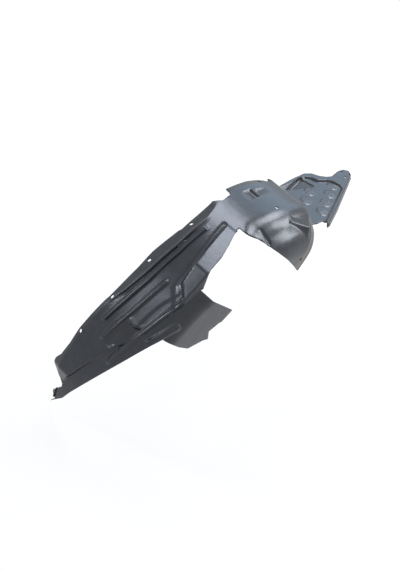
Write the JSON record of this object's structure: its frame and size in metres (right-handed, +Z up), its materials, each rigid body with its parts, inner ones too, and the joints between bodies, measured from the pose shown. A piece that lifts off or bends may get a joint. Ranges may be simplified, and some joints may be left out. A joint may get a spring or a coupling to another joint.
{
  "type": "wheel arch liner",
  "caption": "Moulded plastic wheel arch liner, front left: curved sheet over the wheel with a ribbed rear leg, strut opening, rounded inner wall and a front panel with a fixing ear.",
  "frame": {"origin": "centre of the circle of three fixing holes in the ear of the front panel, on the panel's upper face", "axes": "+X forward along the car, +Y outboard to the left, +Z up, as the liner sits in the car"},
  "size_m": [0.6979, 0.169, 0.392],
  "materials": {
    "moulded_plastic": "satin, lightly marked"
  },
  "bodies": {
    "root": {"liner": "moulded_plastic"}
  },
  "joints": []
}
